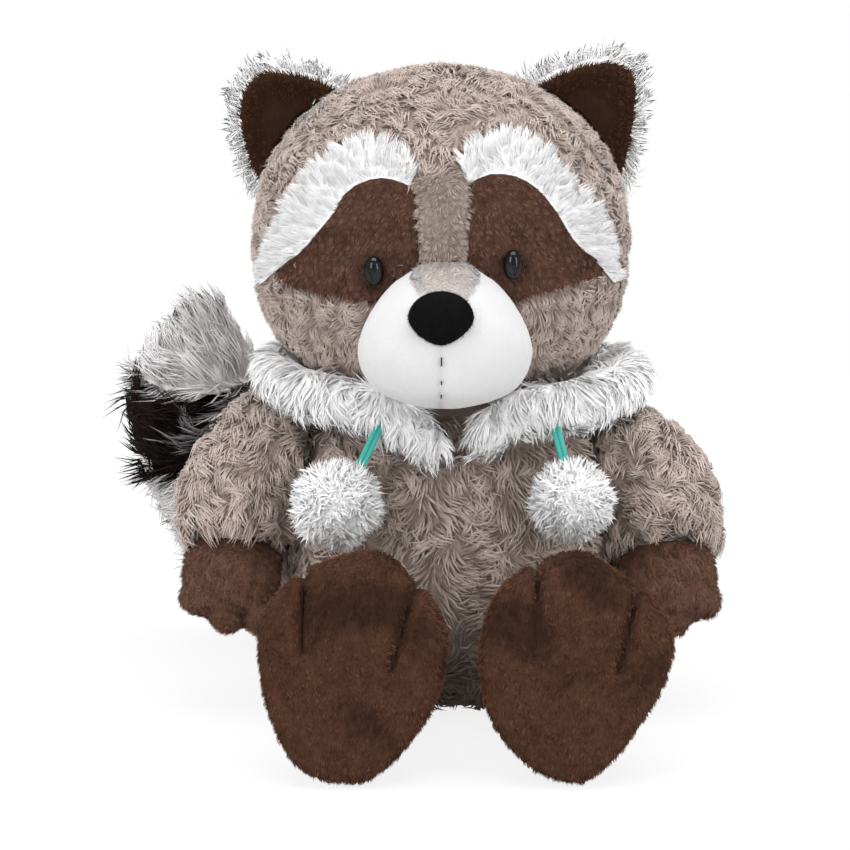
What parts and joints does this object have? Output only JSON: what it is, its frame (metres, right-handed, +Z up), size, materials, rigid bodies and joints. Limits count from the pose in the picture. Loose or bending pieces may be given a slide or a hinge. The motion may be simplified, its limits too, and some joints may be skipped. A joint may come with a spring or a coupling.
{
  "type": "plush raccoon",
  "caption": "Seated plush raccoon with a masked face, fluffy hood collar, drawstrings with pompoms and a ringed tail.",
  "frame": {"origin": "middle of the flat seat under the torso", "axes": "+Z up, -Y the way the toy looks, +X the toy's own left"},
  "size_m": [0.2166, 0.2193, 0.2293],
  "materials": {
    "taupe_fur": "curly matte pile",
    "taupe_short_pile": "short matte pile",
    "white_plush": "smooth short plush",
    "nose_velvet": "matte velvet",
    "mouth_thread": "matte thread",
    "brown_pile": "short pile with a soft sheen",
    "white_fluff": "long fluffy pile",
    "eye_bead": "polished",
    "washer_plastic": "matte",
    "turquoise_cord": "woven cord",
    "pompom_fluff": "cut yarn fluff",
    "grey_long_pile": "long streaked pile",
    "black_long_pile": "long glossy pile"
  },
  "bodies": {
    "root": {"torso": "taupe_fur", "head": "taupe_fur", "arm_right": "taupe_fur", "arm_left": "taupe_fur", "leg_right": "taupe_fur", "leg_left": "taupe_fur", "nose_bridge": "taupe_short_pile", "muzzle_top": "taupe_short_pile", "muzzle": "white_plush", "nose": "nose_velvet", "mouth_stitch": "mouth_thread", "eye_patch_right": "brown_pile", "eye_patch_left": "brown_pile", "brow_right": "white_fluff", "brow_left": "white_fluff", "eye_right": "eye_bead", "eye_left": "eye_bead", "eye_washer_right": "washer_plastic", "eye_washer_left": "washer_plastic", "ear_front_right": "brown_pile", "ear_front_left": "brown_pile", "ear_back_right": "white_fluff", "ear_back_left": "white_fluff", "collar": "white_fluff", "drawstring_right": "turquoise_cord", "drawstring_left": "turquoise_cord", "pompom_right": "pompom_fluff", "pompom_left": "pompom_fluff", "paw_right": "brown_pile", "paw_left": "brown_pile", "foot_right": "brown_pile", "foot_left": "brown_pile", "sole_right": "brown_pile", "sole_left": "brown_pile", "tail_ring_1": "grey_long_pile", "tail_ring_2": "black_long_pile", "tail_ring_3": "grey_long_pile", "tail_ring_4": "black_long_pile", "tail_tip": "grey_long_pile"}
  },
  "joints": []
}
